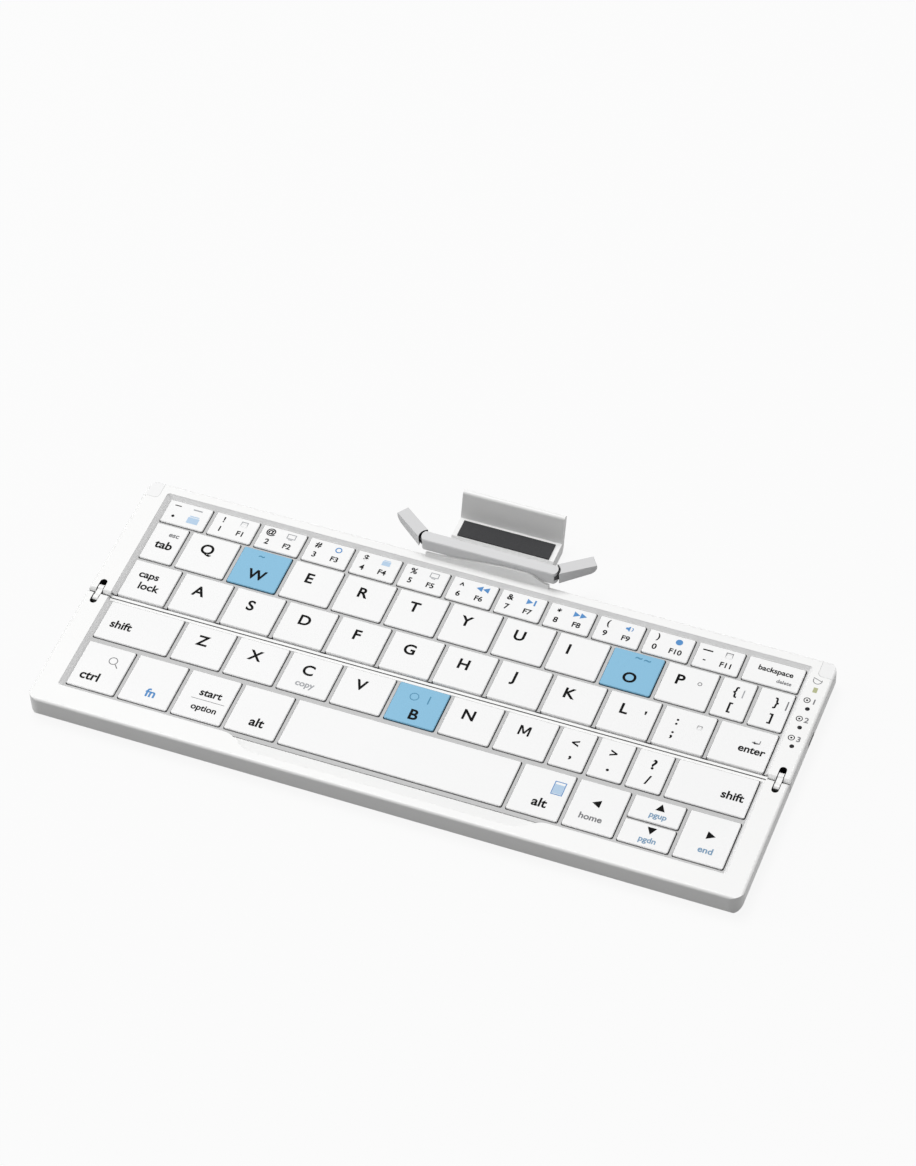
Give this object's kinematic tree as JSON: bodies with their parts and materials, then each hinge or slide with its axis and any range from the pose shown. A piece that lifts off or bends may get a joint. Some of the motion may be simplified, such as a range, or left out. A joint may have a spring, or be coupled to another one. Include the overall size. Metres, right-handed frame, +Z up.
{
  "type": "folding keyboard",
  "caption": "Pocket-size folding keyboard: two flat halves on double-pivot links, sprung key caps, and a bar with swivelling wings and a pull-out rest that hold a phone.",
  "frame": {"origin": "centre of the footprint on the table, halves open flat and the phone rest pulled out", "axes": "+X to the typist's right, +Y away from the typist, +Z up"},
  "size_m": [0.2016, 0.1062, 0.0123],
  "materials": {
    "housing_white": "satin, moulded",
    "key_white": "fine matt, printed legends",
    "key_blue": "fine matt, printed legends",
    "deck_grey": "matt",
    "membrane_film": "printed film",
    "board_green": "solder mask",
    "battery_foil": "foil pouch",
    "steel": "plain",
    "lens_dark": "clear over dark",
    "corner_grey": "matt",
    "rubber_black": "matt",
    "stand_grey": "satin",
    "switch_black": "matt"
  },
  "bodies": {
    "rear_half": {"rear_shell": "housing_white", "rear_cover": "housing_white", "rear_deck": "deck_grey", "rear_membrane": "membrane_film", "circuit_boards": "board_green", "usb_socket": "steel", "indicator_lenses": "lens_dark", "corner_caps": "corner_grey", "rear_feet": "rubber_black", "rear_screws": "steel", "rear_hinge_pins": "steel", "stand_bar": "stand_grey", "wing_pins": "steel"},
    "hinge_links": {"left_link": "housing_white", "right_link": "housing_white"},
    "front_half": {"front_shell": "housing_white", "front_cover": "housing_white", "front_deck": "deck_grey", "front_membrane": "membrane_film", "battery": "battery_foil", "front_feet": "rubber_black", "front_screws": "steel", "front_hinge_pins": "steel"},
    "power_switch": {"power_switch": "switch_black"},
    "left_wing": {"left_wing": "stand_grey"},
    "right_wing": {"right_wing": "stand_grey"},
    "phone_rest": {"phone_slide": "housing_white", "slide_pads": "rubber_black"},
    "key_q": {"key_q": "key_white"},
    "key_w": {"key_w": "key_blue"},
    "key_e": {"key_e": "key_white"},
    "key_r": {"key_r": "key_white"},
    "key_t": {"key_t": "key_white"},
    "key_y": {"key_y": "key_white"},
    "key_u": {"key_u": "key_white"},
    "key_i": {"key_i": "key_white"},
    "key_o": {"key_o": "key_blue"},
    "key_p": {"key_p": "key_white"},
    "key_a": {"key_a": "key_white"},
    "key_s": {"key_s": "key_white"},
    "key_d": {"key_d": "key_white"},
    "key_f": {"key_f": "key_white"},
    "key_g": {"key_g": "key_white"},
    "key_h": {"key_h": "key_white"},
    "key_j": {"key_j": "key_white"},
    "key_k": {"key_k": "key_white"},
    "key_l": {"key_l": "key_white"},
    "key_z": {"key_z": "key_white"},
    "key_x": {"key_x": "key_white"},
    "key_c": {"key_c": "key_white"},
    "key_v": {"key_v": "key_white"},
    "key_b": {"key_b": "key_blue"},
    "key_n": {"key_n": "key_white"},
    "key_m": {"key_m": "key_white"},
    "space_bar": {"space_bar": "key_white"},
    "enter_key": {"enter_key": "key_white"},
    "number_keys": {"number_keys": "key_white"},
    "rear_side_keys": {"rear_side_keys": "key_white"},
    "front_side_keys": {"front_side_keys": "key_white"},
    "bottom_row_keys": {"bottom_row_keys": "key_white"}
  },
  "joints": [
    {"name": "front_pivot", "type": "hinge", "parent": "hinge_links", "child": "front_half", "pos_m": [0, -0.01387, 0.0055], "axis": [-1, 0, 0], "range_deg": [0, 90]},
    {"name": "rear_pivot", "type": "hinge", "parent": "rear_half", "child": "hinge_links", "pos_m": [0, -0.01027, 0.0055], "axis": [-1, 0, 0], "range_deg": [0, 90]},
    {"name": "left_wing_swing", "type": "hinge", "parent": "rear_half", "child": "left_wing", "pos_m": [-0.01895, 0.03268, 0.0084], "axis": [0, 0, 1], "range_deg": [0, 36]},
    {"name": "right_wing_swing", "type": "hinge", "parent": "rear_half", "child": "right_wing", "pos_m": [0.01895, 0.03268, 0.0084], "axis": [0, 0, -1], "range_deg": [0, 36]},
    {"name": "rest_slide", "type": "slide", "parent": "rear_half", "child": "phone_rest", "axis": [0, -1, 0], "range_m": [0, 0.009]},
    {"name": "power_slide", "type": "slide", "parent": "rear_half", "child": "power_switch", "axis": [0, 1, 0], "range_m": [0, 0.0019]},
    {"name": "key_q_press", "type": "slide", "parent": "rear_half", "child": "key_q", "axis": [0, 0, -1], "range_m": [0, 0.001], "stiffness_N_per_m": 400, "springref_m": -0.0005},
    {"name": "key_w_press", "type": "slide", "parent": "rear_half", "child": "key_w", "axis": [0, 0, -1], "range_m": [0, 0.001], "stiffness_N_per_m": 400, "springref_m": -0.0005},
    {"name": "key_e_press", "type": "slide", "parent": "rear_half", "child": "key_e", "axis": [0, 0, -1], "range_m": [0, 0.001], "stiffness_N_per_m": 400, "springref_m": -0.0005},
    {"name": "key_r_press", "type": "slide", "parent": "rear_half", "child": "key_r", "axis": [0, 0, -1], "range_m": [0, 0.001], "stiffness_N_per_m": 400, "springref_m": -0.0005},
    {"name": "key_t_press", "type": "slide", "parent": "rear_half", "child": "key_t", "axis": [0, 0, -1], "range_m": [0, 0.001], "stiffness_N_per_m": 400, "springref_m": -0.0005},
    {"name": "key_y_press", "type": "slide", "parent": "rear_half", "child": "key_y", "axis": [0, 0, -1], "range_m": [0, 0.001], "stiffness_N_per_m": 400, "springref_m": -0.0005},
    {"name": "key_u_press", "type": "slide", "parent": "rear_half", "child": "key_u", "axis": [0, 0, -1], "range_m": [0, 0.001], "stiffness_N_per_m": 400, "springref_m": -0.0005},
    {"name": "key_i_press", "type": "slide", "parent": "rear_half", "child": "key_i", "axis": [0, 0, -1], "range_m": [0, 0.001], "stiffness_N_per_m": 400, "springref_m": -0.0005},
    {"name": "key_o_press", "type": "slide", "parent": "rear_half", "child": "key_o", "axis": [0, 0, -1], "range_m": [0, 0.001], "stiffness_N_per_m": 400, "springref_m": -0.0005},
    {"name": "key_p_press", "type": "slide", "parent": "rear_half", "child": "key_p", "axis": [0, 0, -1], "range_m": [0, 0.001], "stiffness_N_per_m": 400, "springref_m": -0.0005},
    {"name": "key_a_press", "type": "slide", "parent": "rear_half", "child": "key_a", "axis": [0, 0, -1], "range_m": [0, 0.001], "stiffness_N_per_m": 400, "springref_m": -0.0005},
    {"name": "key_s_press", "type": "slide", "parent": "rear_half", "child": "key_s", "axis": [0, 0, -1], "range_m": [0, 0.001], "stiffness_N_per_m": 400, "springref_m": -0.0005},
    {"name": "key_d_press", "type": "slide", "parent": "rear_half", "child": "key_d", "axis": [0, 0, -1], "range_m": [0, 0.001], "stiffness_N_per_m": 400, "springref_m": -0.0005},
    {"name": "key_f_press", "type": "slide", "parent": "rear_half", "child": "key_f", "axis": [0, 0, -1], "range_m": [0, 0.001], "stiffness_N_per_m": 400, "springref_m": -0.0005},
    {"name": "key_g_press", "type": "slide", "parent": "rear_half", "child": "key_g", "axis": [0, 0, -1], "range_m": [0, 0.001], "stiffness_N_per_m": 400, "springref_m": -0.0005},
    {"name": "key_h_press", "type": "slide", "parent": "rear_half", "child": "key_h", "axis": [0, 0, -1], "range_m": [0, 0.001], "stiffness_N_per_m": 400, "springref_m": -0.0005},
    {"name": "key_j_press", "type": "slide", "parent": "rear_half", "child": "key_j", "axis": [0, 0, -1], "range_m": [0, 0.001], "stiffness_N_per_m": 400, "springref_m": -0.0005},
    {"name": "key_k_press", "type": "slide", "parent": "rear_half", "child": "key_k", "axis": [0, 0, -1], "range_m": [0, 0.001], "stiffness_N_per_m": 400, "springref_m": -0.0005},
    {"name": "key_l_press", "type": "slide", "parent": "rear_half", "child": "key_l", "axis": [0, 0, -1], "range_m": [0, 0.001], "stiffness_N_per_m": 400, "springref_m": -0.0005},
    {"name": "key_z_press", "type": "slide", "parent": "front_half", "child": "key_z", "axis": [0, 0, -1], "range_m": [0, 0.001], "stiffness_N_per_m": 400, "springref_m": -0.0005},
    {"name": "key_x_press", "type": "slide", "parent": "front_half", "child": "key_x", "axis": [0, 0, -1], "range_m": [0, 0.001], "stiffness_N_per_m": 400, "springref_m": -0.0005},
    {"name": "key_c_press", "type": "slide", "parent": "front_half", "child": "key_c", "axis": [0, 0, -1], "range_m": [0, 0.001], "stiffness_N_per_m": 400, "springref_m": -0.0005},
    {"name": "key_v_press", "type": "slide", "parent": "front_half", "child": "key_v", "axis": [0, 0, -1], "range_m": [0, 0.001], "stiffness_N_per_m": 400, "springref_m": -0.0005},
    {"name": "key_b_press", "type": "slide", "parent": "front_half", "child": "key_b", "axis": [0, 0, -1], "range_m": [0, 0.001], "stiffness_N_per_m": 400, "springref_m": -0.0005},
    {"name": "key_n_press", "type": "slide", "parent": "front_half", "child": "key_n", "axis": [0, 0, -1], "range_m": [0, 0.001], "stiffness_N_per_m": 400, "springref_m": -0.0005},
    {"name": "key_m_press", "type": "slide", "parent": "front_half", "child": "key_m", "axis": [0, 0, -1], "range_m": [0, 0.001], "stiffness_N_per_m": 400, "springref_m": -0.0005},
    {"name": "space_bar_press", "type": "slide", "parent": "front_half", "child": "space_bar", "axis": [0, 0, -1], "range_m": [0, 0.001], "stiffness_N_per_m": 400, "springref_m": -0.0005},
    {"name": "enter_key_press", "type": "slide", "parent": "rear_half", "child": "enter_key", "axis": [0, 0, -1], "range_m": [0, 0.001], "stiffness_N_per_m": 400, "springref_m": -0.0005},
    {"name": "number_keys_press", "type": "slide", "parent": "rear_half", "child": "number_keys", "axis": [0, 0, -1], "range_m": [0, 0.001], "stiffness_N_per_m": 1200, "springref_m": -0.0005},
    {"name": "rear_side_keys_press", "type": "slide", "parent": "rear_half", "child": "rear_side_keys", "axis": [0, 0, -1], "range_m": [0, 0.001], "stiffness_N_per_m": 1200, "springref_m": -0.0005},
    {"name": "front_side_keys_press", "type": "slide", "parent": "front_half", "child": "front_side_keys", "axis": [0, 0, -1], "range_m": [0, 0.001], "stiffness_N_per_m": 1200, "springref_m": -0.0005},
    {"name": "bottom_row_keys_press", "type": "slide", "parent": "front_half", "child": "bottom_row_keys", "axis": [0, 0, -1], "range_m": [0, 0.001], "stiffness_N_per_m": 1200, "springref_m": -0.0005}
  ],
  "couplings": [
    {"joint": "front_pivot", "follows": "rear_pivot", "ratio": 1}
  ]
}
